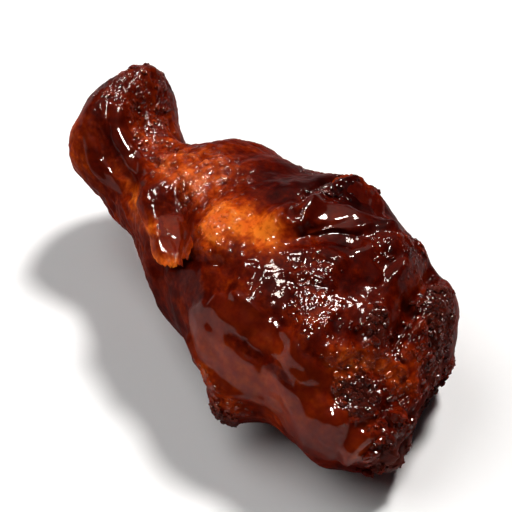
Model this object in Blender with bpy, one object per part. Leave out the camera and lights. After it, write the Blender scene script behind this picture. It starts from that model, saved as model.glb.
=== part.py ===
"""One glazed chicken wing drumette, lying on its meaty side.

The piece is a single closed solid. Its form is lofted along X from the thin elbow end (-X) to the
meaty shoulder end (+X): four outlines give each cross-section its near side, far side, underside
and top, and both ends close in rounded caps. Named lumps, folds and creases are then pushed out of
or into that loft. Whatever would lie below the table is pressed flat, so it rests on a flat spot.
"""

import bmesh
import bpy
import numpy as np
from math import radians
from mathutils import Matrix

MM = 0.001

# Driving sizes, in millimetres.
LENGTH = 86.0
ELBOW_CAP = 6.7
SHOULDER_CAP = 9.5

# Outlines of the loft, in millimetres: distance from the elbow tip, near side (-Y), far side (+Y),
# underside and top, the last two as heights over the table. Both ends are given as if uncut.
OUTLINES = np.array(
    (
        (0.0, -7.2, 9.1, 11.5, 28.2),
        (6.5, -8.2, 11.8, 10.7, 30.6),
        (13.0, -8.8, 7.8, 10.3, 26.7),
        (18.0, -8.8, 6.9, 9.6, 25.3),
        (23.0, -10.1, 8.0, 7.4, 26.5),
        (28.5, -12.4, 13.8, 4.4, 30.0),
        (38.0, -14.5, 18.7, -0.6, 32.3),
        (50.0, -18.2, 22.5, -2.4, 34.2),
        (59.0, -18.7, 22.3, -2.6, 33.7),
        (67.0, -17.4, 20.8, -2.2, 31.2),
        (74.5, -16.0, 17.5, -1.0, 27.6),
        (80.0, -13.6, 12.0, 0.8, 23.0),
        (86.0, -12.8, 6.0, 2.2, 17.4),
    )
)

# Lumps and hollows: distance from the elbow tip and half-length (mm), angle round the section and
# half-width (degrees, 0 at the top and positive towards +Y), and height (mm, negative is a hollow).
LUMPS = (
    ("far_knuckle", 4.3, 4.8, 48.0, 40.0, 1.5),
    ("near_knuckle", 5.7, 4.8, -95.0, 38.0, 1.1),
    ("under_knuckle", 6.7, 4.8, 170.0, 45.0, 1.0),
    ("far_haunch", 25.8, 4.8, 62.0, 42.0, 3.2),
    ("back_hollow", 36.5, 7.5, 122.0, 28.0, -1.5),
    ("pale_boss", 43.5, 4.5, -33.0, 14.0, 1.0),
    ("corner_hump", 49.5, 4.2, 50.0, 18.0, 2.6),
    ("top_boss", 62.5, 4.0, 4.0, 13.0, 1.4),
    ("near_boss", 67.5, 4.5, -26.0, 14.0, 1.0),
    ("chin_lump", 59.5, 3.6, -110.0, 16.0, 2.5),
    ("near_hollow", 66.0, 4.0, -104.0, 26.0, -1.2),
    ("end_boss", 73.5, 3.6, -35.0, 15.0, 1.2),
    ("far_lobe", 73.0, 6.8, 44.0, 30.0, 3.2),
    ("under_lobe", 70.5, 6.5, 128.0, 34.0, 1.8),
    ("end_tuft", 82.0, 4.0, -68.0, 30.0, 1.8),
    ("end_notch", 81.5, 3.0, 72.0, 24.0, -1.8),
)

# Folds and creases: from one place to another as distance from the elbow tip (mm) and angle
# (degrees), how far the line bows out to its left in between, half-width and height, all in mm.
FOLDS = (
    ("tendon_ridge", 8.0, -27.0, 21.0, -32.0, 0.0, 2.6, 1.1),
    ("skin_strip", 28.0, -40.0, 38.5, -68.0, 0.0, 2.0, 1.6),
    ("strip_gutter", 31.0, -36.0, 39.0, -52.0, 0.0, 2.0, -0.9),
    ("shoulder_fold", 51.5, -8.0, 64.5, 31.0, 2.6, 2.2, 2.0),
    ("fold_hollow", 55.5, -2.0, 61.0, 16.0, 1.0, 2.4, -1.6),
    ("lobe_crease", 69.0, 50.0, 77.0, 8.0, 0.0, 1.8, -2.0),
    ("crust_rim", 80.5, -68.0, 83.0, -8.0, 0.0, 1.6, 1.0),
)

# Slow unevenness of the flesh: wavelength along (mm), waves round, phase (radians), height (mm).
WAVES = (
    (22.0, 2, 0.6, 0.50),
    (14.5, 3, 2.1, 0.40),
    (10.5, 5, 4.0, 0.28),
)

RINGS = 60
AROUND = 66
PROFILE_SAMPLES = 400
SKIN_COLOUR = (0.18, 0.035, 0.010, 1.0)
SKIN_ROUGHNESS = 0.28


def outline_at(along, column):
    """One outline at the given distances: a cubic through the rows with their average slopes."""
    knots = OUTLINES[:, 0]
    values = OUTLINES[:, column]
    slopes = np.gradient(values, knots)
    row = np.clip(np.searchsorted(knots, along) - 1, 0, len(knots) - 2)
    gap = knots[row + 1] - knots[row]
    t = (along - knots[row]) / gap
    return (
        values[row] * (1 + 2 * t) * (1 - t) ** 2
        + slopes[row] * gap * t * (1 - t) ** 2
        + values[row + 1] * t**2 * (3 - 2 * t)
        + slopes[row + 1] * gap * t**2 * (t - 1)
    )


def end_cap(along):
    """How much of the full section is left: quarter ellipses that close the two ends."""
    elbow = np.clip((ELBOW_CAP - along) / ELBOW_CAP, 0, 1)
    shoulder = np.clip((along - LENGTH + SHOULDER_CAP) / SHOULDER_CAP, 0, 1)
    return np.sqrt((1 - elbow**2) * (1 - shoulder**2))


def even_spacing(share):
    """Distances from the elbow tip for even steps over the skin: share 0 at one pole, 1 at the other."""
    samples = LENGTH * 0.5 * (1 - np.cos(np.linspace(0, np.pi, PROFILE_SAMPLES)))
    radius = 0.5 * (outline_at(samples, 2) - outline_at(samples, 1)) * end_cap(samples)
    steps = np.hypot(np.diff(samples), np.diff(radius))
    travelled = np.concatenate(([0.0], np.cumsum(steps)))
    return np.interp(share * travelled[-1], travelled, samples)


def bell(distance):
    """A smooth bell: 1 in the middle, a half at 0.5 and nothing from 1 outwards."""
    inside = np.clip(1 - distance, 0, 1)
    return inside**2 * (3 - 2 * inside)


def turned(angle, middle):
    """The angle measured from another one, in degrees from -180 to 180."""
    return (angle - middle + 180) % 360 - 180


def lump_height(along, angle):
    """All named lumps and hollows, each an oval bell on the unrolled skin."""
    height = np.zeros_like(along)
    for _name, place, reach, middle, spread, rise in LUMPS:
        distance = np.hypot((along - place) / (2 * reach), turned(angle, middle) / (2 * spread))
        height += rise * bell(distance)
    return height


def fold_height(along, angle, radius):
    """All named folds and creases, each a bell across a bowed line on the unrolled skin."""
    height = np.zeros_like(along)
    for _name, start, start_angle, end, end_angle, sag, width, rise in FOLDS:
        beside = np.radians(turned(angle, start_angle)) * radius
        run_along = end - start
        run_beside = np.radians(turned(end_angle, start_angle)) * radius
        run = np.hypot(run_along, run_beside)
        share = ((along - start) * run_along + beside * run_beside) / run**2
        share = np.clip(share, 0, 1)
        bow = sag * np.sin(np.pi * share)
        off_along = along - start - share * run_along + bow * run_beside / run
        off_beside = beside - share * run_beside - bow * run_along / run
        height += rise * bell(np.hypot(off_along, off_beside) / (2 * width))
    return height


def wave_height(along, angle):
    """Slow sine waves that run both along and round the flesh."""
    height = np.zeros_like(along)
    for length, count, phase, rise in WAVES:
        wave = np.sin(2 * np.pi * along / length + phase)
        height += rise * wave * np.cos(count * np.radians(angle) + phase)
    return height


def skin_point(along, angle):
    """Points of the skin in millimetres: the lofted oval, pushed out along its own section."""
    cap = end_cap(along)
    near, far, under, top = (outline_at(along, column) for column in (1, 2, 3, 4))
    half_width = 0.5 * (far - near)
    half_height = 0.5 * (top - under)
    radius = 0.5 * (half_width + half_height)
    relief = lump_height(along, angle) + fold_height(along, angle, radius) + wave_height(along, angle)
    side = np.sin(np.radians(angle))
    up = np.cos(np.radians(angle))
    across = 0.5 * (near + far) + (half_width + relief) * cap * side
    height = 0.5 * (under + top) + (half_height + relief) * cap * up
    return np.stack((along, across, np.maximum(height, 0.0)), axis=-1)


def glazed_skin():
    """Sticky glazed fried skin: deep red-brown and glossy."""
    material = bpy.data.materials.new("glazed_fried_skin")
    material.use_nodes = True
    shader = material.node_tree.nodes["Principled BSDF"]
    shader.inputs["Base Color"].default_value = SKIN_COLOUR
    shader.inputs["Roughness"].default_value = SKIN_ROUGHNESS
    shader.inputs["Metallic"].default_value = 0.0
    return material


def drumette():
    """A ball whose rings are carried onto the drumette's sections, pole to pole along X."""
    shape = bmesh.new()
    poles_along_x = Matrix.Rotation(radians(-90), 4, "Y")
    bmesh.ops.create_uvsphere(
        shape, u_segments=AROUND, v_segments=RINGS, radius=1.0, matrix=poles_along_x
    )
    ball = np.array([vertex.co for vertex in shape.verts])
    share = np.arccos(np.clip(-ball[:, 0], -1, 1)) / np.pi
    angle = np.degrees(np.arctan2(ball[:, 1], ball[:, 2]))
    points = skin_point(even_spacing(share), angle) * MM
    middle = 0.5 * (points.min(axis=0) + points.max(axis=0))
    points -= (middle[0], middle[1], 0.0)
    for vertex, place in zip(shape.verts, points):
        vertex.co = place
    bmesh.ops.triangulate(shape, faces=shape.faces)
    mesh = bpy.data.meshes.new("drumette")
    shape.to_mesh(mesh)
    shape.free()
    mesh.shade_smooth()
    piece = bpy.data.objects.new("drumette", mesh)
    piece.data.materials.append(glazed_skin())
    bpy.context.scene.collection.objects.link(piece)
    return piece


for leftover in list(bpy.data.objects):
    bpy.data.objects.remove(leftover)
drumette()
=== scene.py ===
"""A glazed chicken wing drumette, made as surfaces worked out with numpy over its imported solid.

Every length in the tables is in millimetres and every angle in degrees. A place on the skin is a
distance from the elbow tip and an angle round the section, 0 at the top and positive towards +Y.
"""

import math

import bpy
import numpy as np
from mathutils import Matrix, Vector


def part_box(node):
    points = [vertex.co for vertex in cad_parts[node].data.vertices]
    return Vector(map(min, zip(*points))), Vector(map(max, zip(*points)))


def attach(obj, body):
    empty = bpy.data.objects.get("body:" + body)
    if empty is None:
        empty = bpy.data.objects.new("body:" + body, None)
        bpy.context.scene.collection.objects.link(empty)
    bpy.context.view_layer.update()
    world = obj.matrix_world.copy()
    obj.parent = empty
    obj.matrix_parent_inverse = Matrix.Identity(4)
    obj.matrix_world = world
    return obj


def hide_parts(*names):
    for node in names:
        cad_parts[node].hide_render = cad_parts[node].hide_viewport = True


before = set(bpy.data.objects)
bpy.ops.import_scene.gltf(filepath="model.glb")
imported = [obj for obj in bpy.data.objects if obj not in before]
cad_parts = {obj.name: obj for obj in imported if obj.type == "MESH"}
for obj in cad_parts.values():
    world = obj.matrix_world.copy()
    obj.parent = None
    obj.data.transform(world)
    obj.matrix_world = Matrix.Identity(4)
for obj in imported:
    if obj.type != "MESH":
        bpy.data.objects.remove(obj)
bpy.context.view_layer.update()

bl_info = {
    "name": "Glazed drumette",
    "version": (1, 0, 0),
    "blender": (4, 5, 0),
    "location": "View3D > Sidebar > Drumette",
    "description": "Builds the skin, glaze, crust and crumbs of a glazed chicken wing drumette",
    "category": "Add Mesh",
}

MM = 0.001
NODE = "drumette"
BODY = "root"

# ---------------------------------------------------------------- the plain form, as in the solid

LENGTH = 86.0
ELBOW_CAP = 6.7
SHOULDER_CAP = 9.5

# Distance from the elbow tip, near side (-Y), far side (+Y), underside and top.
OUTLINES = np.array(
    (
        (0.0, -7.2, 9.1, 11.5, 28.2),
        (6.5, -8.2, 11.8, 10.7, 30.6),
        (13.0, -8.8, 7.8, 10.3, 26.7),
        (18.0, -8.8, 6.9, 9.6, 25.3),
        (23.0, -10.1, 8.0, 7.4, 26.5),
        (28.5, -12.4, 13.8, 4.4, 30.0),
        (38.0, -14.5, 18.7, -0.6, 32.3),
        (50.0, -18.2, 22.5, -2.4, 34.2),
        (59.0, -18.7, 22.3, -2.6, 33.7),
        (67.0, -17.4, 20.8, -2.2, 31.2),
        (74.5, -16.0, 17.5, -1.0, 27.6),
        (80.0, -13.6, 12.0, 0.8, 23.0),
        (86.0, -12.8, 6.0, 2.2, 17.4),
    )
)

# Name, distance, half-length, angle, half-width in degrees, height.
LUMPS = (
    ("far_knuckle", 4.3, 4.8, 48.0, 40.0, 1.5),
    ("near_knuckle", 5.7, 4.8, -95.0, 38.0, 1.1),
    ("under_knuckle", 6.7, 4.8, 170.0, 45.0, 1.0),
    ("far_haunch", 25.8, 4.8, 62.0, 42.0, 3.2),
    ("back_hollow", 36.5, 7.5, 122.0, 28.0, -1.5),
    ("pale_boss", 43.5, 4.5, -33.0, 14.0, 1.0),
    ("corner_hump", 49.5, 4.2, 50.0, 18.0, 2.6),
    ("top_boss", 62.5, 4.0, 4.0, 13.0, 1.4),
    ("near_boss", 67.5, 4.5, -26.0, 14.0, 1.0),
    ("chin_lump", 59.5, 3.6, -110.0, 16.0, 2.5),
    ("near_hollow", 66.0, 4.0, -104.0, 26.0, -1.2),
    ("end_boss", 73.5, 3.6, -35.0, 15.0, 1.2),
    ("far_lobe", 73.0, 6.8, 44.0, 30.0, 3.2),
    ("under_lobe", 70.5, 6.5, 128.0, 34.0, 1.8),
    ("end_tuft", 82.0, 4.0, -68.0, 30.0, 1.8),
    ("end_notch", 81.5, 3.0, 72.0, 24.0, -1.8),
)

# Name, start, its angle, end, its angle, bow to the left, half-width, height.
FOLDS = (
    ("tendon_ridge", 8.0, -27.0, 21.0, -32.0, 0.0, 2.6, 1.1),
    ("skin_strip", 28.0, -40.0, 38.5, -68.0, 0.0, 2.0, 1.6),
    ("strip_gutter", 31.0, -36.0, 39.0, -52.0, 0.0, 2.0, -0.9),
    ("shoulder_fold", 51.5, -8.0, 64.5, 31.0, 2.6, 2.2, 2.0),
    ("fold_hollow", 55.5, -2.0, 61.0, 16.0, 1.0, 2.4, -1.6),
    ("lobe_crease", 69.0, 50.0, 77.0, 8.0, 0.0, 1.8, -2.0),
    ("crust_rim", 80.5, -68.0, 83.0, -8.0, 0.0, 1.6, 1.0),
)

# Wavelength along, waves round, phase, height.
WAVES = (
    (22.0, 2, 0.6, 0.50),
    (14.5, 3, 2.1, 0.40),
    (10.5, 5, 4.0, 0.28),
)

# ---------------------------------------------------------------- what covers each part of the skin

# Each cover is a sum of oval bells: distance, half-length, angle, half-width in degrees, strength.
# Where glaze lies thick and level over the skin; a minus parts it into tongues.
FILM = (
    (54.5, 5.0, -76.0, 11.0, 1.0),
    (60.0, 7.0, -68.0, 17.0, 1.1),
    (70.0, 8.0, -66.0, 22.0, 1.3),
    (79.0, 6.0, -72.0, 24.0, 1.2),
    (54.5, 1.6, -57.0, 3.5, 1.1),
    (59.0, 2.4, -48.0, 3.0, 1.6),
    (64.0, 1.6, -50.0, 3.0, 1.3),
    (62.0, 3.2, -64.0, 3.0, -2.8),
    (68.5, 3.0, -60.0, 3.0, -2.8),
    (13.0, 4.5, -20.0, 8.0, 1.1),
    (19.0, 4.5, -28.0, 8.0, 1.1),
    (36.5, 3.2, -49.0, 6.0, 1.1),
    (57.0, 2.8, 13.0, 12.0, 0.85),
    (53.4, 1.2, 9.0, 7.0, 0.9),
    (65.3, 1.6, 9.0, 6.0, 1.0),
    (68.6, 1.5, 9.0, 4.5, 0.9),
    (60.7, 1.2, -12.0, 3.5, 0.8),
    (15.0, 3.5, -67.0, 9.0, 0.8),
    (10.0, 6.0, -62.0, 14.0, 0.6),
    (45.0, 12.0, 155.0, 34.0, 0.7),
    (62.0, 11.0, 98.0, 24.0, 0.8),
    (30.0, 8.0, 105.0, 28.0, 0.7),
)
# Where so little of it clings that the fried skin shows.
BARE = (
    (44.0, 3.6, -27.0, 11.0, 1.5),
    (50.5, 4.0, -15.0, 8.0, 1.0),
    (32.5, 3.5, -60.0, 6.0, 0.6),
    (34.0, 7.0, -14.0, 18.0, 0.7),
    (21.0, 5.0, 4.0, 22.0, 0.5),
    (24.0, 4.0, -56.0, 12.0, 0.6),
    (6.0, 4.5, -80.0, 22.0, 0.7),
    (53.0, 6.0, -94.0, 11.0, 0.3),
    (42.0, 7.0, 78.0, 16.0, 0.9),
    (24.0, 5.0, 125.0, 26.0, 0.7),
    (62.0, 5.0, 118.0, 14.0, 0.6),
    (70.0, 6.0, -122.0, 18.0, 0.5),
)
# Where the crust caught and burnt.
CHAR = (
    (77.0, 4.2, 42.0, 18.0, 1.0),
    (75.2, 2.6, -2.0, 9.0, 0.9),
    (79.8, 3.2, -32.0, 15.0, 1.0),
    (81.5, 3.6, 98.0, 34.0, 1.0),
    (86.5, 1.9, -80.0, 250.0, 1.5),
    (59.5, 2.6, -114.0, 12.0, 1.0),
    (3.0, 4.0, 36.0, 40.0, 0.6),
    (50.0, 3.6, 54.0, 10.0, 0.6),
    (72.0, 6.0, 128.0, 26.0, 0.8),
    (34.0, 4.0, 112.0, 14.0, 0.5),
)
# What is taken off the glaze's shine where it has soaked in; a minus is where it shines more.
DRY = (
    (36.0, 12.0, -92.0, 16.0, 0.13),
    (14.0, 9.0, -84.0, 20.0, 0.10),
    (72.0, 12.0, -106.0, 14.0, 0.12),
    (58.0, 6.0, -112.0, 14.0, 0.10),
    (40.0, 14.0, 50.0, 24.0, 0.12),
    (83.0, 4.0, 60.0, 40.0, 0.10),
    (5.0, 6.0, -88.0, 26.0, 0.06),
    (68.5, 3.0, -22.0, 8.0, -0.08),
    (83.6, 0.9, -60.0, 26.0, -0.12),
)
# How many millimetres thinner the glaze lies there, which lightens it; a minus is where it lies thicker. A few
# places are thinned partly to paint in light: painted bounce light on the floor-facing near side, and painted
# sheen on the fold's band and on the crust rim.
THINNED_GLAZE_AND_PAINTED_LIGHT = (
    (44.5, 4.5, -27.0, 14.0, 0.5),
    (54.0, 4.0, -19.0, 8.0, 1.3),
    (33.0, 8.0, -10.0, 22.0, 0.35),
    (17.0, 5.0, 26.0, 14.0, 0.3),
    (54.0, 6.0, -80.0, 12.0, 0.5),
    (49.0, 8.0, -38.0, 16.0, 0.5),
    (32.5, 4.0, -58.0, 6.0, 0.5),
    (37.0, 3.5, -49.0, 7.0, 0.6),
    # Near side over the floor: partly the film's own lighter colour, partly painted bounce light from the floor.
    (70.0, 13.0, -66.0, 24.0, 1.1),
    (56.0, 12.0, -98.0, 15.0, 0.1),
    (5.0, 5.0, -75.0, 30.0, 0.3),
    (22.0, 6.0, -54.0, 14.0, 0.5),
    (75.5, 1.8, -28.0, 8.0, 0.8),
    (77.5, 1.5, -18.0, 8.0, 0.8),
    (79.3, 1.5, -5.0, 9.0, 0.8),
    (81.0, 1.6, 14.0, 14.0, 0.8),
    # Crust rim: partly pale torn skin, partly a painted sheen.
    (83.4, 0.9, -62.0, 24.0, 0.6),
    # Fold's band: lightened as a painted sheen, on top of the shine of its film.
    (57.0, 2.6, 11.0, 9.0, 0.6),
    (48.0, 7.0, 28.0, 18.0, -0.9),
    (56.0, 5.0, 42.0, 18.0, -0.5),
    (61.0, 2.4, 7.0, 7.0, -0.6),
    (62.0, 3.2, -64.0, 3.5, -0.6),
    (68.5, 3.2, -60.0, 3.5, -1.0),
)
# Where the glaze has run down so smooth that it evens out what lies under it.
CALM = (
    (13.0, 4.5, -18.0, 9.0, 1.2),
    (20.0, 5.0, -27.0, 9.0, 1.2),
)
# Where fine pimples of crust stand close together.
PIMPLED = (
    (33.0, 8.0, -12.0, 22.0, 1.0),
    (17.0, 7.0, 12.0, 26.0, 1.0),
    (6.0, 6.0, 20.0, 40.0, 1.0),
    (77.6, 2.0, 32.0, 9.0, 1.0),
    (67.5, 4.5, -24.0, 13.0, 0.9),
    (61.5, 3.0, -12.0, 8.0, 0.7),
    (66.0, 4.0, 14.0, 16.0, 0.5),
    (44.5, 4.0, -28.0, 12.0, 0.6),
    (52.0, 3.0, 18.0, 18.0, 0.9),
    (66.0, 4.0, 42.0, 14.0, 0.8),
    (80.0, 5.0, -10.0, 60.0, 0.9),
    (56.0, 9.0, -104.0, 14.0, 0.7),
    (40.0, 9.0, 62.0, 24.0, 0.7),
)

# Sharper folds, wrinkles and cracks than the solid has, in the same terms as FOLDS.
CREASES = (
    ("tendon_cord", 10.0, -13.0, 24.5, -29.0, 0.0, 1.3, 1.5),
    ("tendon_drop", 8.0, -32.0, 20.0, -36.0, 0.0, 1.8, -0.7),
    ("cord_gutter", 9.0, -44.0, 22.0, -48.0, 0.0, 1.3, -0.5),
    ("neck_crease", 12.0, -14.0, 26.0, -20.0, 0.4, 0.8, -0.6),
    ("neck_wrinkle", 14.0, -6.0, 29.0, -12.0, 0.6, 0.7, 0.45),
    ("neck_wrinkle", 17.0, -24.0, 27.0, -30.0, -0.3, 0.6, -0.5),
    ("neck_wrinkle", 11.0, 8.0, 22.0, 12.0, 0.4, 0.7, -0.5),
    ("neck_wrinkle", 12.0, 22.0, 23.0, 30.0, 0.0, 0.7, 0.4),
    ("strip_edge", 27.0, -50.0, 35.0, -60.0, -0.5, 1.2, 0.5),
    ("strip_hem", 36.0, -80.0, 49.0, -43.0, 1.6, 1.0, -0.8),
    ("shoulder_fill", 55.5, -2.0, 61.0, 16.0, 1.0, 2.4, 1.4),
    ("shoulder_rim", 49.8, 40.0, 53.9, -2.0, -0.6, 0.8, 1.0),
    ("shoulder_brink", 48.5, 38.0, 52.4, -3.0, -0.6, 0.8, -0.9),
    ("shoulder_band", 54.8, 3.0, 60.3, 22.0, 0.0, 0.9, 0.5),
    ("band_line", 55.4, 2.0, 60.2, 25.0, 0.0, 0.5, -0.4),
    ("band_line", 57.0, 2.0, 61.4, 18.0, 0.0, 0.5, -0.35),
    ("shoulder_valley", 58.6, 1.0, 63.2, 11.0, 0.2, 1.0, -1.1),
    ("shoulder_ridge", 56.0, 38.0, 62.5, 31.0, 0.0, 0.9, 0.7),
    ("shoulder_ridge", 62.5, 31.0, 66.6, 46.0, 0.8, 0.9, 0.7),
    ("shoulder_boss", 64.6, 15.5, 65.6, 24.0, 0.0, 1.5, 1.1),
    ("shoulder_hook", 67.5, 31.0, 70.5, 17.0, 0.6, 0.8, 0.7),
    ("shoulder_ripple", 57.5, -14.0, 64.6, -1.0, 0.5, 0.8, 0.7),
    ("shoulder_ripple", 60.5, -22.0, 66.5, -12.0, 0.6, 0.7, 0.6),
    ("film_edge", 50.0, -90.0, 70.0, -84.0, -2.0, 1.0, 0.7),
    ("lobe_crack", 69.5, 52.0, 78.0, 6.0, 0.6, 0.9, -1.6),
    ("lobe_crack", 74.0, 22.0, 79.0, 36.0, 0.0, 0.7, -1.0),
    ("char_edge", 75.0, -16.0, 78.0, -46.0, 0.8, 0.8, -0.7),
    ("crust_ledge", 82.4, -88.0, 84.5, -30.0, 0.3, 0.6, 1.3),
    ("crust_ledge", 84.5, -30.0, 83.0, 30.0, 0.0, 0.6, 0.9),
    ("end_cleft", 79.0, 130.0, 83.0, 96.0, 0.0, 2.8, -6.0),
    ("end_lump", 83.6, -120.0, 85.0, -74.0, 0.0, 1.5, 0.9),
    ("orange_ridge", 74.5, -30.0, 81.5, 20.0, 0.6, 1.0, 0.8),
)

SKIN_ROWS = 290
SKIN_AROUND = 328
PROFILE_SAMPLES = 400


def outline_at(along, column):
    """One outline at the given distances: a cubic through the rows with their average slopes."""
    knots = OUTLINES[:, 0]
    values = OUTLINES[:, column]
    slopes = np.gradient(values, knots)
    row = np.clip(np.searchsorted(knots, along) - 1, 0, len(knots) - 2)
    gap = knots[row + 1] - knots[row]
    t = (along - knots[row]) / gap
    return (
        values[row] * (1 + 2 * t) * (1 - t) ** 2
        + slopes[row] * gap * t * (1 - t) ** 2
        + values[row + 1] * t**2 * (3 - 2 * t)
        + slopes[row + 1] * gap * t**2 * (t - 1)
    )


def end_cap(along):
    """How much of the full section is left: quarter ellipses that close the two ends."""
    elbow = np.clip((ELBOW_CAP - along) / ELBOW_CAP, 0, 1)
    shoulder = np.clip((along - LENGTH + SHOULDER_CAP) / SHOULDER_CAP, 0, 1)
    return np.sqrt((1 - elbow**2) * (1 - shoulder**2))


def even_spacing(share):
    """Distances from the elbow tip for even steps over the skin: share 0 at one pole, 1 at the other."""
    samples = LENGTH * 0.5 * (1 - np.cos(np.linspace(0, np.pi, PROFILE_SAMPLES)))
    radius = 0.5 * (outline_at(samples, 2) - outline_at(samples, 1)) * end_cap(samples)
    steps = np.hypot(np.diff(samples), np.diff(radius))
    travelled = np.concatenate(([0.0], np.cumsum(steps)))
    return np.interp(share * travelled[-1], travelled, samples)


def smooth(low, high, value):
    """Smoothstep: 0 below low, 1 above high, with level ends in between."""
    t = np.clip((value - low) / (high - low), 0, 1)
    return t * t * (3 - 2 * t)


def bell(distance):
    """A smooth bell: 1 in the middle, a half at 0.5 and nothing from 1 outwards."""
    return smooth(0, 1, 1 - distance)


def turned(angle, middle):
    """The angle measured from another one, in degrees from -180 to 180."""
    return (angle - middle + 180) % 360 - 180


def cover(along, angle, patches):
    """Sum of oval bells on the unrolled skin, one for each patch."""
    total = np.zeros_like(along)
    for place, reach, middle, spread, strength in patches:
        distance = np.hypot((along - place) / (2 * reach), turned(angle, middle) / (2 * spread))
        total += strength * bell(distance)
    return total


def fold_height(along, angle, radius, folds):
    """Sum of folds and creases, each a bell across a bowed line on the unrolled skin."""
    height = np.zeros_like(along)
    for _name, start, start_angle, end, end_angle, sag, width, rise in folds:
        beside = np.radians(turned(angle, start_angle)) * radius
        run_along = end - start
        run_beside = np.radians(turned(end_angle, start_angle)) * radius
        run = np.hypot(run_along, run_beside)
        share = ((along - start) * run_along + beside * run_beside) / run**2
        share = np.clip(share, 0, 1)
        bow = sag * np.sin(np.pi * share)
        off_along = along - start - share * run_along + bow * run_beside / run
        off_beside = beside - share * run_beside - bow * run_along / run
        height += rise * bell(np.hypot(off_along, off_beside) / (2 * width))
    return height


def wave_height(along, angle):
    """Slow sine waves that run both along and round the flesh."""
    height = np.zeros_like(along)
    for length, count, phase, rise in WAVES:
        wave = np.sin(2 * np.pi * along / length + phase)
        height += rise * wave * np.cos(count * np.radians(angle) + phase)
    return height


def plain_skin(along, angle):
    """The solid's own surface in millimetres: the lofted oval, pushed out along its section."""
    cap = end_cap(along)
    near, far, under, top = (outline_at(along, column) for column in (1, 2, 3, 4))
    half_width = 0.5 * (far - near)
    half_height = 0.5 * (top - under)
    lumps = cover(along, angle, [lump[1:] for lump in LUMPS])
    relief = lumps + fold_height(along, angle, 0.5 * (half_width + half_height), FOLDS)
    relief = relief + wave_height(along, angle)
    side = np.sin(np.radians(angle))
    up = np.cos(np.radians(angle))
    across = 0.5 * (near + far) + (half_width + relief) * cap * side
    height = 0.5 * (under + top) + (half_height + relief) * cap * up
    return np.stack((along, across, height), axis=-1)


# ---------------------------------------------------------------- noise worked out with numpy


def scrambled(cell, seed):
    """A number from 0 to 1 for each whole-numbered cell, from integer multiply-and-shift mixing."""
    mixed = cell[..., 0] * 73856093 ^ cell[..., 1] * 19349663 ^ cell[..., 2] * 83492791
    mixed = (mixed ^ seed * 2654435761) & 0xFFFFFFFF
    for multiplier in (0x7FEB352D, 0x846CA68B):
        mixed = ((mixed ^ (mixed >> 15)) * multiplier) & 0xFFFFFFFF
    return ((mixed ^ (mixed >> 16)) & 0xFFFFFF) / float(0xFFFFFF)


def soft_noise(points, size, seed):
    """Gradient noise from about -1 to 1: slopes drawn at lattice corners, blended by a fifth-order fade."""
    scaled = points / size
    low = np.floor(scaled).astype(np.int64)
    part = scaled - low
    fade = part**3 * (part * (part * 6 - 15) + 10)
    total = np.zeros(points.shape[:-1])
    for corner in np.ndindex(2, 2, 2):
        offset = np.array(corner)
        turn = 2 * np.pi * scrambled(low + offset, seed)
        level = 2 * scrambled(low + offset, seed + 101) - 1
        flat = np.sqrt(1 - level**2)
        slope = np.stack((flat * np.cos(turn), flat * np.sin(turn), level), axis=-1)
        weight = np.prod(np.where(offset, fade, 1 - fade), axis=-1)
        total += weight * np.sum(slope * (part - offset), axis=-1)
    return 1.6 * total


def cell_noise(points, size, seed):
    """Distance to the nearest and second nearest of points scattered one to a cell, in cell sizes."""
    scaled = points / size
    low = np.floor(scaled).astype(np.int64)
    nearest = np.full(points.shape[:-1], 9.0)
    second = np.full(points.shape[:-1], 9.0)
    for step in np.ndindex(3, 3, 3):
        cell = low + np.array(step) - 1
        centre = np.stack([scrambled(cell, seed + shift) for shift in (0, 7, 13)], axis=-1)
        gap = np.linalg.norm(cell + centre - scaled, axis=-1)
        second = np.minimum(second, np.maximum(nearest, gap))
        nearest = np.minimum(nearest, gap)
    return nearest, second


# ---------------------------------------------------------------- meshes from grids


def link_mesh(name, points, quads, triangles, values=None, rounded=True):
    """An object at the origin from points in millimetres, faces as index arrays and point values.

    Its shading is smooth when rounded, else each face is flat.
    """
    mesh = bpy.data.meshes.new(name)
    corners = np.concatenate((quads.ravel(), triangles.ravel())).astype(np.int32)
    counts = np.concatenate((np.full(len(quads), 4), np.full(len(triangles), 3))).astype(np.int32)
    starts = np.concatenate(([0], np.cumsum(counts)[:-1])).astype(np.int32)
    mesh.vertices.add(len(points))
    mesh.vertices.foreach_set("co", (points * MM).astype(np.float32).ravel())
    mesh.loops.add(len(corners))
    mesh.loops.foreach_set("vertex_index", corners)
    mesh.polygons.add(len(counts))
    mesh.polygons.foreach_set("loop_start", starts)
    mesh.polygons.foreach_set("loop_total", counts)
    mesh.update(calc_edges=True)
    for key, value in (values or {}).items():
        layer = mesh.attributes.new(key, "FLOAT", "POINT")
        layer.data.foreach_set("value", value.astype(np.float32).ravel())
    if rounded:
        mesh.shade_smooth()
    else:
        mesh.shade_flat()
    piece = bpy.data.objects.new(name, mesh)
    bpy.context.scene.collection.objects.link(piece)
    return piece


def ball_faces(rows, around):
    """Faces of a grid closed round, whose first and last rows have shrunk to one point each.

    Point 0 is the first pole, then come the rows between, then the last pole.
    """
    row = np.arange(rows - 3)[:, None] * around + 1
    column = np.arange(around)[None, :]
    following = (column + 1) % around
    quads = np.stack(
        (row + column, row + around + column, row + around + following, row + following), axis=-1
    ).reshape(-1, 4)
    first = np.arange(around)
    after = (first + 1) % around
    last = (rows - 2) * around + 1
    base = last - around
    start_fan = np.stack((np.zeros(around, int), 1 + first, 1 + after), axis=-1)
    end_fan = np.stack((np.full(around, last), base + after, base + first), axis=-1)
    return quads, np.concatenate((start_fan, end_fan))


def ball_points(grid):
    """A grid's points in the order of ball_faces: both poles once, the rows between in full."""
    inner = grid[1:-1].reshape(-1, *grid.shape[2:])
    return np.concatenate((grid[:1, 0], inner, grid[-1:, 0]))


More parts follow.
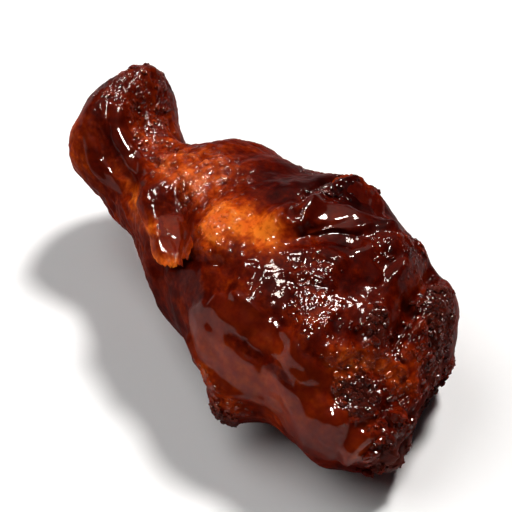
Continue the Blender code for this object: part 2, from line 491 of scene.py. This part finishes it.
def grid_normals(points):
    """Outward unit normals of a grid closed round, from the differences between neighbours."""
    down = np.gradient(points, axis=0)
    round_ = np.roll(points, -1, axis=1) - np.roll(points, 1, axis=1)
    normal = np.cross(down, round_)
    normal[0] = normal[1].mean(axis=0)
    normal[-1] = normal[-2].mean(axis=0)
    return normal / np.maximum(np.linalg.norm(normal, axis=-1, keepdims=True), 1e-9)


# ---------------------------------------------------------------- the skin


def centring():
    """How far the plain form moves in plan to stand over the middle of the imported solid's box."""
    share, angle = np.meshgrid(np.linspace(0, 1, 121), np.linspace(-180, 180, 241), indexing="ij")
    points = plain_skin(even_spacing(share), angle)
    middle = 0.5 * (points.min(axis=(0, 1)) + points.max(axis=(0, 1)))
    low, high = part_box(NODE)
    return np.array(
        (0.5 * (low[0] + high[0]) / MM - middle[0], 0.5 * (low[1] + high[1]) / MM - middle[1], 0.0)
    )


def covers(along, angle, place):
    """How much film, bare skin, char and pimples there is at each place, with ragged edges."""
    ragged = 0.26 * soft_noise(place, 6.0, 11) + 0.16 * soft_noise(place, 2.2, 12)
    film = smooth(0.4, 0.6, cover(along, angle, FILM) + ragged + 0.14 * soft_noise(place, 1.6, 13))
    bare = cover(along, angle, BARE) + 0.8 * ragged
    char = smooth(0.35, 0.8, cover(along, angle, CHAR) + 1.1 * ragged)
    pimpled = smooth(0.2, 0.8, cover(along, angle, PIMPLED) + ragged)
    return film * (1 - char), bare, char, pimpled


def crust_height(along, angle, place, film, char, pimpled):
    """Height of the bare crust over the plain form, and its fine part alone, in millimetres.

    Flesh swells in slow noise. The neck is drawn into wrinkles along its length, which are ridged
    noise squeezed across. Goosebumps are domes over scattered points, and pimples smaller domes.
    Burnt crust is crumbs, which are domes of two sizes on each other.
    """
    flesh = 0.42 * soft_noise(place, 11.0, 21) + 0.24 * soft_noise(place, 5.5, 22)
    flesh = flesh + 0.13 * soft_noise(place, 3.2, 26)
    bent = place + 0.9 * np.stack([soft_noise(place, 2.4, 24 + axis) for axis in range(3)], axis=-1)
    neck = smooth(5, 11, along) * (1 - smooth(27, 38, along))
    wrinkle = 1 - 1.6 * np.abs(soft_noise(bent * (0.26, 1.0, 1.0), 2.3, 23))
    wrinkle = wrinkle + 0.5 - 0.8 * np.abs(soft_noise(bent * (0.3, 1.0, 1.0), 1.2, 25))
    bump, _next = cell_noise(bent, 2.6, 31)
    bumps = 0.34 * np.clip(1 - 1.7 * bump**2, 0, 1)
    pimple, _next = cell_noise(bent, 1.25, 32)
    pimples = 0.3 * np.clip(1 - 1.9 * pimple**2, 0, 1)
    crumb, _next = cell_noise(bent, 2.1, 33)
    small_crumb, _next = cell_noise(bent, 1.15, 34)
    crumbs = 0.75 * (1 - 1.2 * crumb**2) + 0.35 * (1 - 1.2 * small_crumb**2)
    patchy = smooth(-0.3, 0.4, soft_noise(place, 7.0, 37))
    rough = (1 - 0.75 * film) * (0.45 + 0.55 * np.maximum(pimpled, char))
    broken = smooth(-0.5, 0.2, soft_noise(place, 4.0, 39))
    net = 0.27 * (1 - 2 * np.abs(soft_noise(bent, 2.4, 38)))
    fine = 0.26 * neck * wrinkle + rough * (net + bumps * patchy + pimples * pimpled * broken)
    return flesh + fine + 0.75 * char * crumbs, fine


def glazed(crust, place, film, bare, char, pimpled):
    """Height once glaze has filled the crust, and how thick the glaze is, in millimetres.

    Glaze lies at its own level, which is highest where there is film and lowest where skin is bare.
    The surface is the higher of crust and level, blended over a tenth of a millimetre or so.
    """
    level = -0.06 + 0.34 * soft_noise(place, 8.0, 41) + 0.2 * soft_noise(place * (0.7, 1, 1), 4.4, 42)
    level = level + 0.22 * soft_noise(place * (0.8, 1, 1), 3.0, 43)
    level = level + 0.07 * soft_noise(place, 1.7, 44)
    level = level + 0.16 * film * soft_noise(place, 2.5, 45)
    level = level + 0.5 * film - 0.3 * np.clip(bare, 0, 1) - 0.1 * char - 0.25 * pimpled * (1 - film)
    gap = crust - level
    height = 0.5 * (crust + level + np.sqrt(gap**2 + 0.14**2))
    return height, height - crust


def glaze_depth(place, fine, thickness, film, bare):
    """How much glaze light goes through, in millimetres.

    A clinging coat that thins over whatever stands proud, what has pooled, and slow and quick
    unevenness, less where skin is bare.
    """
    uneven = 0.42 * soft_noise(place, 7.0, 51) + 0.34 * soft_noise(place, 2.4, 52)
    depth = 2.0 + 0.9 * thickness * (1 - 0.9 * film) - 1.2 * fine + uneven * (1 - 0.5 * film)
    return depth - 1.15 * bare


def plain_normal(along, angle):
    """Outward unit normals of the plain form, from its slopes along and round the skin."""
    along = np.clip(along, 0.5, LENGTH - 0.5)
    down = plain_skin(along + 0.4, angle) - plain_skin(along - 0.4, angle)
    round_ = plain_skin(along, angle + 1.5) - plain_skin(along, angle - 1.5)
    normal = np.cross(down, round_)
    return normal / np.linalg.norm(normal, axis=-1, keepdims=True)


def skin_at(along, angle, normal=None):
    """Points of the finished skin, the plain form's normals there and the point values."""
    place = plain_skin(along, angle)
    normal = plain_normal(along, angle) if normal is None else normal(place)
    film, bare, char, pimpled = covers(along, angle, place)
    width = 0.25 * sum(outline_at(along, column) * sign for column, sign in ((1, -1), (2, 1), (3, -1), (4, 1)))
    creases = fold_height(along, angle, width * end_cap(along), CREASES)
    crust, fine = crust_height(along, angle, place, film, char, pimpled)
    height, thickness = glazed(crust + 0.2 * creases, place, film, bare, char, pimpled)
    height = height * (1 - np.clip(cover(along, angle, CALM), 0, 1))
    height = height + 0.8 * creases
    values = {"film": film, "char": char, "pimpled": pimpled}
    wet = 0.055 + 0.155 * film - 0.03 * np.clip(bare, 0, 1) - cover(along, angle, DRY)
    values["wet"] = np.clip(wet, 0.01, 0.3)
    # Thinner glaze is lighter; some of the places thinned here stand for painted bounce light and painted sheen.
    depth = glaze_depth(place, fine, thickness, film, bare) - cover(along, angle, THINNED_GLAZE_AND_PAINTED_LIGHT)
    values["depth"] = np.maximum(depth, 0.05)
    return place + normal * height[..., None] + centring(), normal, values


def skin_grid():
    """The whole visible skin as a grid closed round: points and point values."""
    share = np.linspace(0, 1, SKIN_ROWS)
    ring = np.linspace(-180, 180, SKIN_AROUND, endpoint=False)
    along, angle = np.meshgrid(even_spacing(share), ring, indexing="ij")
    points, _normal, values = skin_at(along, angle, grid_normals)
    points[0] = points[0].mean(axis=0)
    points[-1] = points[-1].mean(axis=0)
    points[..., 2] = np.maximum(points[..., 2], 0.0)
    return points, values


# ---------------------------------------------------------------- pieces that lie on the skin

# Loose sheets of skin: places of the edge it grows from and of its torn edge, each as distance and
# angle at the near end, the middle and the far end; how high it stands over the plain form at the
# root and at those three places of the torn edge; thickness; and how deep glaze lies at the root
# and at the torn edge.
FLAPS = {
    "skin_flap": (
        ((30.0, -62.0), (29.0, -50.0), (35.5, -40.0)),
        ((35.0, -73.0), (41.8, -62.0), (47.8, -44.0)),
        -0.6, (0.1, 1.2, 0.3), 0.8, (0.6, 1.35), 0.1,
    ),
    "shoulder_fold": (
        ((54.0, 9.0), (56.0, 30.0), (66.0, 38.0)),
        ((51.5, 16.0), (49.4, 43.0), (61.0, 51.0)),
        -0.9, (0.8, 0.6, 0.6), 0.7, (2.0, 2.0), 1.0,
    ),
}


def curve_through(share, places):
    """A smooth curve through three places, at shares 0, a half and 1: the one parabola through them."""
    first, middle, last = (np.array(place) for place in places)
    share = share[..., None]
    return (
        first * (1 - share) * (1 - 2 * share)
        + middle * 4 * share * (1 - share)
        + last * share * (2 * share - 1)
    )


def flap(root, torn, root_lift, torn_lifts, thickness, root_depths, torn_depth, seed):
    """A thin closed sheet between two lines on the skin, as a grid closed round.

    Rows run from its near end to its far end. Each ring starts on top of the root, crosses to the
    torn edge, turns round it and comes back underneath. The sheet rises from root to torn edge, and
    noise along that edge frays it.
    """
    across, turn = np.meshgrid(np.linspace(0, 1, 110), np.linspace(2 * np.pi, 0, 48, False), indexing="ij")
    reach = 0.5 - 0.5 * np.cos(turn)
    fade = np.sin(np.pi * across) ** 0.3
    here = curve_through(across, root)
    there = curve_through(across, torn)
    beside = np.stack((across * 24, np.zeros_like(across), np.full_like(across, seed)), axis=-1)
    fray = 0.6 * soft_noise(beside, 3.0, seed) + 0.35 * soft_noise(beside, 1.0, seed + 1)
    stretch = reach * (1 + 0.2 * fray * reach**2) * fade
    path = here + (there - here) * stretch[..., None]
    place = plain_skin(path[..., 0], path[..., 1])
    wavy = 0.5 * soft_noise(place, 4.0, seed + 2) + 0.25 * soft_noise(place, 1.6, seed + 3)
    wavy = wavy + 0.12 * soft_noise(place, 0.9, seed + 4)
    torn_lift = curve_through(across, [(lift,) for lift in torn_lifts])[..., 0]
    lift = (root_lift + (torn_lift - root_lift) * reach) * fade + wavy * reach
    half = 0.5 * thickness * (1 - 0.5 * reach) * fade * np.sin(turn)
    points = place + plain_normal(path[..., 0], path[..., 1]) * (lift + half)[..., None] + centring()
    points[0] = points[0].mean(axis=0)
    points[-1] = points[-1].mean(axis=0)
    edge = smooth(0.7, 1.0, reach)
    golden = edge * (1 - 0.6 * smooth(0.45, 0.7, across))
    depth = root_depths[0] + (root_depths[1] - root_depths[0]) * smooth(0.15, 0.5, across)
    depth = depth + (torn_depth - depth) * golden + 0.4 * fray * reach
    values = {"film": 0.8 - 0.6 * edge, "char": 0.35 * smooth(0.2, 0.7, fray) * edge}
    values["pimpled"] = 0.3 * edge
    values["wet"] = 0.05 + 0.14 * smooth(0.2, 0.5, across) * (1 - edge)
    values["depth"] = np.maximum(depth, 0.1)
    return points, values


def small_ball(rows, around):
    """Points and faces of a small ball: rings round the up direction, with both poles."""
    tilt, turn = np.meshgrid(np.linspace(0, np.pi, rows), np.linspace(0, 2 * np.pi, around, False), indexing="ij")
    grid = np.stack((np.sin(tilt) * np.cos(turn), np.sin(tilt) * np.sin(turn), np.cos(tilt)), axis=-1)
    quads, triangles = ball_faces(rows, around)
    return ball_points(grid), quads, triangles


def scattered_places(count, seed, keep):
    """Random places on the skin, as many as asked for, kept by a chance worked out for each."""
    rng = np.random.default_rng(seed)
    along = rng.uniform(1.5, LENGTH - 0.8, count * 30)
    angle = rng.uniform(-180, 180, count * 30)
    place = plain_skin(along, angle)
    girth = np.hypot(*(place - plain_skin(along, angle + 180))[:, 1:].T) / 44
    chosen = rng.uniform(0, 1, count * 30) < keep(along, angle, place) * np.clip(girth, 0.1, 1)
    return along[chosen][:count], angle[chosen][:count], rng


def scattered(along, angle, rng, sizes, stretch, flatness, sink, rough, ball):
    """Many small lumps on the skin as one mesh: the ball scaled, turned, roughened and set on it.

    Each lump lies flat on the skin, drawn out at most by the stretch and sunk by a share of its
    size, and its points move in and out by a random share of the size.
    """
    local, quads, triangles = ball
    centre, normal, values = skin_at(along, angle)
    side = np.cross(normal, (0.0, 0.0, 1.0)) + (1e-6, 0, 0)
    side = side / np.linalg.norm(side, axis=-1, keepdims=True)
    spin = rng.uniform(0, 2 * np.pi, len(along))[:, None]
    forward = np.cross(normal, side)
    side, forward = side * np.cos(spin) + forward * np.sin(spin), forward * np.cos(spin) - side * np.sin(spin)
    frame_ = np.stack((side * rng.uniform(0.6, stretch, len(along))[:, None], forward, normal * flatness), axis=1)
    push = 1 + rough * rng.uniform(-1, 1, (len(along), len(local)))
    points = np.einsum("pk,nkc->npc", local, frame_) * (push * sizes[:, None])[..., None]
    points = points + (centre - normal * (sink * sizes)[:, None])[:, None]
    points[..., 2] = np.maximum(points[..., 2], 0.0)
    step = (np.arange(len(along)) * len(local))[:, None, None]
    values = {key: np.repeat(value, len(local)) for key, value in values.items()}
    return points.reshape(-1, 3), (quads + step).reshape(-1, 4), (triangles + step).reshape(-1, 3), values


def crumbs():
    """Burnt crumbs that stick to the charred places."""
    def keep(along, angle, place):
        return covers(along, angle, place)[2]

    along, angle, rng = scattered_places(1500, 5, keep)
    sizes = 0.25 + 0.5 * rng.uniform(0, 1, len(along)) ** 3
    made = scattered(along, angle, rng, sizes, 1.6, 0.7, 0.1, 0.34, small_ball(6, 7))
    made[3]["wet"] = np.full_like(made[3]["wet"], 0.14)
    return made


def tuft():
    """Larger crumbs of torn crust, heaped round the shoulder end's tip."""
    def keep(along, angle, place):
        middle = turned(angle, -70) / 70
        return np.clip(1.2 - np.abs(middle), 0, 1) * smooth(82.6, 84.5, along)

    along, angle, rng = scattered_places(200, 8, keep)
    sizes = 0.5 + 0.8 * rng.uniform(0, 1, len(along)) ** 1.5
    return scattered(along, angle, rng, sizes, 1.7, 0.9, 0.0, 0.3, small_ball(8, 9))


def beads():
    """Small beads of glaze that stand on the pimpled crust."""
    def keep(along, angle, place):
        film, bare, char, pimpled = covers(along, angle, place)
        return np.clip(pimpled + 0.4 * char - 0.8 * film, 0, 1)

    along, angle, rng = scattered_places(2700, 6, keep)
    sizes = 0.22 + 0.33 * rng.uniform(0, 1, len(along)) ** 2
    made = scattered(along, angle, rng, sizes, 1.9, 0.38, 0.2, 0.02, small_ball(6, 8))
    made[3]["film"] = np.ones_like(made[3]["film"])
    made[3]["wet"] = np.full_like(made[3]["wet"], 0.3)
    return made


# ---------------------------------------------------------------- materials


def linear(hex_colour):
    """A colour as linear RGBA from its sRGB hex value."""
    channels = [int(hex_colour[i : i + 2], 16) / 255 for i in (1, 3, 5)]
    curve = [c / 12.92 if c <= 0.04045 else ((c + 0.055) / 1.055) ** 2.4 for c in channels]
    return (*curve, 1.0)


def add(tree, kind, inputs=None, output=0, **settings):
    """Adds one node with its settings, sets or links its inputs, and gives back one output."""
    item = tree.nodes.new("ShaderNode" + kind)
    for key, value in settings.items():
        setattr(item, key, value)
    for key, value in (inputs or {}).items():
        if isinstance(value, bpy.types.NodeSocket):
            tree.links.new(value, item.inputs[key])
        else:
            item.inputs[key].default_value = value
    return item.outputs[output] if len(item.outputs) else None


def new_material(name):
    """A new material and its node tree, emptied."""
    material = bpy.data.materials.new(name)
    material.use_nodes = True
    material.node_tree.nodes.clear()
    return material, material.node_tree


def glazed_skin_material(colours):
    """Fried chicken skin under a sticky soy and sugar glaze, cooked until it is tacky.

    The glaze works as a filter: the colour that a millimetre of it lets through is raised to the
    power of its thickness, so thin glaze is amber and thick glaze nearly black maroon. Its wet
    surface is a clear coat with a sharp shine, broken into sparkles by the crust under it.
    """
    material, tree = new_material("soy_sugar_glaze_on_fried_skin")
    place = add(tree, "TexCoord", output="Object")
    value = {
        name: add(tree, "Attribute", output="Fac", attribute_name=name)
        for name in ("film", "char", "pimpled", "depth", "wet")
    }
    patch = add(tree, "TexNoise", {"Vector": place, "Scale": 420.0, "Detail": 4.0, "Roughness": 0.6})
    speck = add(tree, "TexNoise", {"Vector": place, "Scale": 1100.0, "Detail": 2.0})
    # Fried skin is golden, browner in blotches and redder where spice has caught in the crust.
    blotch = add(tree, "MapRange", {"Value": patch, 1: 0.38, 2: 0.62}, interpolation_type="SMOOTHSTEP")
    skin = add(tree, "Mix", {0: blotch, 6: colours["gold"], 7: colours["brown"]}, 2, data_type="RGBA")
    red = add(tree, "Math", {0: value["pimpled"], 1: 0.6}, operation="MULTIPLY")
    skin = add(tree, "Mix", {0: red, 6: skin, 7: colours["spice"]}, 2, data_type="RGBA")
    # The glaze is a little uneven at the scale of the grain too, less where it is a smooth film.
    rough = add(tree, "Math", {0: value["film"], 1: -0.85, 2: 1.0}, operation="MULTIPLY_ADD")
    speck = add(tree, "Math", {0: speck, 1: 0.5}, operation="SUBTRACT")
    uneven = add(tree, "Math", {0: rough, 1: 1.0, 2: 0.5}, operation="MULTIPLY_ADD")
    depth = add(tree, "Math", {0: speck, 1: uneven, 2: value["depth"]}, operation="MULTIPLY_ADD")
    depth = add(tree, "Math", {0: depth, 1: 0.04}, operation="MAXIMUM")
    filtered = add(tree, "Gamma", {"Color": colours["glaze"], "Gamma": depth})
    tone = add(
        tree, "Mix", {0: 1.0, 6: skin, 7: filtered}, 2, data_type="RGBA", blend_type="MULTIPLY"
    )
    burnt = add(tree, "Math", {0: speck, 1: 0.5, 2: value["char"]}, operation="MULTIPLY_ADD")
    burnt = add(tree, "MapRange", {"Value": burnt, 1: 0.35, 2: 1.15}, interpolation_type="SMOOTHSTEP")
    tone = add(tree, "Mix", {0: burnt, 6: tone, 7: colours["char"]}, 2, data_type="RGBA")
    # Grain of the crust, about half a millimetre, which smooth film hides.
    grain = add(tree, "TexNoise", {"Vector": place, "Scale": 1400.0, "Detail": 1.0, "Roughness": 0.5})
    grain = add(tree, "Math", {0: grain, 1: rough}, operation="MULTIPLY")
    normal = add(tree, "Bump", {"Height": grain, "Strength": 1.0, "Distance": 0.00006})
    # Droplets of glaze in some cells of a millimetre, thickest on the pimples.
    cell = {"Vector": place, "Scale": 1000.0}
    drop = add(tree, "TexVoronoi", cell)
    drop = add(tree, "MapRange", {"Value": drop, 1: 0.46, 2: 0.0}, interpolation_type="SMOOTHERSTEP")
    chance = add(tree, "TexVoronoi", cell, "Color")
    sure = add(tree, "Math", {0: value["pimpled"], 1: 0.45, 2: 0.12}, operation="MULTIPLY_ADD")
    sure = add(tree, "Math", {0: sure, 1: rough}, operation="MULTIPLY")
    chance = add(tree, "Math", {0: chance, 1: sure}, operation="LESS_THAN")
    drop = add(tree, "Math", {0: drop, 1: chance}, operation="MULTIPLY")
    normal = add(tree, "Bump", {"Height": drop, "Strength": 1.0, "Distance": 0.00016, "Normal": normal})
    shader = {
        "Base Color": tone,
        "Roughness": 0.45,
        "IOR": 1.45,
        "Specular IOR Level": 0.01,
        "Normal": normal,
        "Coat Normal": normal,
        "Subsurface Weight": 0.12,
        "Subsurface Radius": (1.0, 0.25, 0.08),
        "Subsurface Scale": 0.0016,
        "Coat Weight": value["wet"],
        "Coat Roughness": 0.05,
        "Coat IOR": 2.0,
    }
    surface = add(tree, "BsdfPrincipled", shader)
    add(tree, "OutputMaterial", {"Surface": surface})
    return material


def floor_material(colours):
    """White matt laminate, pressed smooth: pale, even and without a shine."""
    material, tree = new_material("matt_white_laminate")
    place = add(tree, "TexCoord", output="Object")
    cloud = add(tree, "TexNoise", {"Vector": place, "Scale": 16.0, "Detail": 2.0})
    tone = add(
        tree, "Mix", {0: cloud, 6: colours["floor"], 7: colours["floor_shade"]}, 2, data_type="RGBA"
    )
    surface = add(tree, "BsdfPrincipled", {"Base Color": tone, "Roughness": 0.8, "Specular IOR Level": 0.1})
    add(tree, "OutputMaterial", {"Surface": surface})
    return material


# ---------------------------------------------------------------- what a user may change


def hex_colour(name, note, value):
    """A colour property whose default is an sRGB hex value."""
    return bpy.props.FloatVectorProperty(
        name=name, description=note, subtype="COLOR", size=4, min=0, max=1, default=linear(value)
    )


class DrumetteSkinSettings(bpy.types.PropertyGroup):
    """Colours of the glazed skin."""

    glaze: hex_colour("Glaze", "What a millimetre of glaze lets through", "#95622d")
    gold: hex_colour("Golden skin", "Bare fried skin", "#e27c24")
    brown: hex_colour("Brown skin", "Fried skin in its browner blotches", "#d8661c")
    spice: hex_colour("Spiced crust", "Pimpled crust where spice has caught", "#d86830")
    char: hex_colour("Burnt sugar", "Charred crust and edges", "#4a170e")


class DrumetteStageSettings(bpy.types.PropertyGroup):
    """Camera, lights and floor."""

    azimuth: bpy.props.FloatProperty(
        name="Azimuth", description="Camera's turn round the piece", subtype="ANGLE", default=math.radians(51)
    )
    elevation: bpy.props.FloatProperty(
        name="Elevation", description="Camera's height angle", subtype="ANGLE", default=math.radians(45)
    )
    distance: bpy.props.FloatProperty(
        name="Distance", description="From the piece to the camera", unit="LENGTH", min=0.2, default=0.6
    )
    frame_width: bpy.props.FloatProperty(
        name="Frame width", description="Width seen at the piece", unit="LENGTH", min=0.05, default=0.0855
    )
    floor: hex_colour("Floor", "Pale table top", "#f4f4f4")
    floor_shade: hex_colour("Floor shade", "Slight unevenness of the table top", "#ededed")


def palette(group, *names):
    """The named colours of a property group as plain tuples."""
    return {name: tuple(getattr(group, name)) for name in names}


def skin_material(settings):
    """The glazed skin's material in the chosen colours, made once and then used again."""
    made = bpy.data.materials.get("soy_sugar_glaze_on_fried_skin")
    colours = palette(settings, "glaze", "gold", "brown", "spice", "char")
    return made or glazed_skin_material(colours)


def settle(piece, material):
    """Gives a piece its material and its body."""
    piece.data.materials.append(material)
    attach(piece, BODY)
    return piece


class DRUMETTE_OT_skin(bpy.types.Operator):
    """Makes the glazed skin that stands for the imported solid"""

    bl_idname = "drumette.skin"
    bl_label = "Glazed Skin"

    def execute(self, context):
        settings = context.scene.drumette_skin
        points, values = skin_grid()
        quads, triangles = ball_faces(SKIN_ROWS, SKIN_AROUND)
        point_values = {key: ball_points(value) for key, value in values.items()}
        piece = link_mesh("glazed_skin", ball_points(points), quads, triangles, point_values)
        settle(piece, skin_material(settings))
        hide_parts(NODE)
        return {"FINISHED"}


class DRUMETTE_OT_flaps(bpy.types.Operator):
    """Makes the loose sheets of skin on the neck and at the shoulder end"""

    bl_idname = "drumette.flaps"
    bl_label = "Skin Flaps"

    def execute(self, context):
        for seed, (name, terms) in enumerate(FLAPS.items()):
            points, values = flap(*terms, seed + 60)
            quads, triangles = ball_faces(*points.shape[:2])
            point_values = {key: ball_points(value) for key, value in values.items()}
            piece = link_mesh(name, ball_points(points), quads, triangles, point_values)
            settle(piece, skin_material(context.scene.drumette_skin))
        return {"FINISHED"}


class DRUMETTE_OT_crumbs(bpy.types.Operator):
    """Makes the burnt crumbs and the beads of glaze"""

    bl_idname = "drumette.crumbs"
    bl_label = "Crumbs and Beads"

    def execute(self, context):
        for name, make in (("burnt_crumbs", crumbs), ("end_tuft", tuft), ("glaze_beads", beads)):
            piece = link_mesh(name, *make(), rounded=make is beads)
            settle(piece, skin_material(context.scene.drumette_skin))
        return {"FINISHED"}


class DRUMETTE_OT_stage(bpy.types.Operator):
    """Makes the floor, the lights, the background and the camera"""

    bl_idname = "drumette.stage"
    bl_label = "Stage"

    def execute(self, context):
        settings = context.scene.drumette_stage
        build_floor(palette(settings, "floor", "floor_shade"))
        build_lights(settings)
        build_camera(settings)
        return {"FINISHED"}


def build_floor(colours):
    """A level square of table top just under the piece."""
    half = 30000.0
    corners = np.array(((-half, -half), (half, -half), (half, half), (-half, half)))
    points = np.column_stack((corners, np.full(4, -0.15)))
    floor = link_mesh("table_top", points, np.array([[0, 1, 2, 3]]), np.zeros((0, 3), int))
    floor.data.materials.append(floor_material(colours))


def aimed(obj, direction):
    """Turns an object so that its -Z looks against the given direction."""
    obj.rotation_euler = Vector(direction).to_track_quat("Z", "Y").to_euler()


def towards(azimuth, elevation):
    """Unit vector from the piece to something at this azimuth and height angle."""
    flat = math.cos(elevation)
    return Vector((math.sin(azimuth) * flat, -math.cos(azimuth) * flat, math.sin(elevation)))


# Name, turn from the camera's azimuth, height angle, strength, angular size, colour, and whether
# it is a lamp that lights the piece or one that is only mirrored in the wet glaze.
LAMPS = (
    ("key", 140.0, 60.0, 2.8, 13.0, "#fffdfb", "diffuse"),
    ("fill", -100.0, 52.0, 1.5, 60.0, "#ffffff", "diffuse"),
    ("key_shine", 137.0, 62.0, 4.6, 10.0, "#fff6ec", "glossy"),
    ("top_shine", -80.0, 84.0, 4.0, 10.0, "#fff6ec", "glossy"),
    ("left_shine", -105.0, 50.0, 2.2, 7.0, "#fff6ec", "glossy"),
    ("side_shine", -50.0, 62.0, 7.0, 14.0, "#fff6ec", "glossy"),
    ("back_sheen", 180.0, 50.0, 0.9, 70.0, "#fff0e4", "glossy"),
)
BACKGROUND = ("#d8dde4", 0.03)


def build_lights(settings):
    """Suns with a broad disc, as softboxes far off, and a dim even background."""
    for name, turn, height, strength, size, colour, role in LAMPS:
        lamp = bpy.data.lights.new(name, "SUN")
        lamp.energy = strength
        lamp.angle = math.radians(size)
        lamp.color = linear(colour)[:3]
        holder = bpy.data.objects.new(name, lamp)
        aimed(holder, towards(settings.azimuth + math.radians(turn), math.radians(height)))
        holder.visible_diffuse = role == "diffuse"
        holder.visible_glossy = role == "glossy"
        bpy.context.scene.collection.objects.link(holder)
    world = bpy.data.worlds.new("studio")
    world.use_nodes = True
    backdrop = world.node_tree.nodes["Background"]
    backdrop.inputs["Color"].default_value = linear(BACKGROUND[0])
    backdrop.inputs["Strength"].default_value = BACKGROUND[1]
    bpy.context.scene.world = world


def build_camera(settings):
    """A long lens that looks at the middle of the piece."""
    low, high = (Vector(corner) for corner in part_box(NODE))
    lens = bpy.data.cameras.new("camera")
    lens.sensor_width = 36.0
    lens.lens = lens.sensor_width * settings.distance / settings.frame_width
    camera = bpy.data.objects.new("camera", lens)
    direction = towards(settings.azimuth, settings.elevation)
    camera.location = 0.5 * (low + high) + direction * settings.distance
    aimed(camera, direction)
    bpy.context.scene.collection.objects.link(camera)
    bpy.context.scene.camera = camera
    look = bpy.context.scene.view_settings
    look.view_transform = "Standard"
    look.exposure = 0.2
    look.gamma = 0.9


class DRUMETTE_PT_panel(bpy.types.Panel):
    """Lists the pieces of the drumette"""

    bl_label = "Glazed Drumette"
    bl_idname = "DRUMETTE_PT_panel"
    bl_space_type = "VIEW_3D"
    bl_region_type = "UI"
    bl_category = "Drumette"

    def draw(self, context):
        for operator in OPERATORS:
            self.layout.operator(operator.bl_idname)
        for group in (context.scene.drumette_skin, context.scene.drumette_stage):
            box = self.layout.box()
            for name in group.__annotations__:
                box.prop(group, name)


GROUPS = {"drumette_skin": DrumetteSkinSettings, "drumette_stage": DrumetteStageSettings}
OPERATORS = (DRUMETTE_OT_skin, DRUMETTE_OT_flaps, DRUMETTE_OT_crumbs, DRUMETTE_OT_stage)


def register():
    """Registers the classes and hangs the settings on the scene."""
    for item in (*GROUPS.values(), *OPERATORS, DRUMETTE_PT_panel):
        bpy.utils.register_class(item)
    for name, group in GROUPS.items():
        setattr(bpy.types.Scene, name, bpy.props.PointerProperty(type=group))


def unregister():
    """Takes away what register added."""
    for name in GROUPS:
        delattr(bpy.types.Scene, name)
    for item in (DRUMETTE_PT_panel, *reversed(OPERATORS), *reversed(tuple(GROUPS.values()))):
        bpy.utils.unregister_class(item)


def main():
    """Builds every piece in turn."""
    register()
    for operator in OPERATORS:
        group, name = operator.bl_idname.split(".")
        getattr(getattr(bpy.ops, group), name)()


if __name__ == "__main__":
    main()
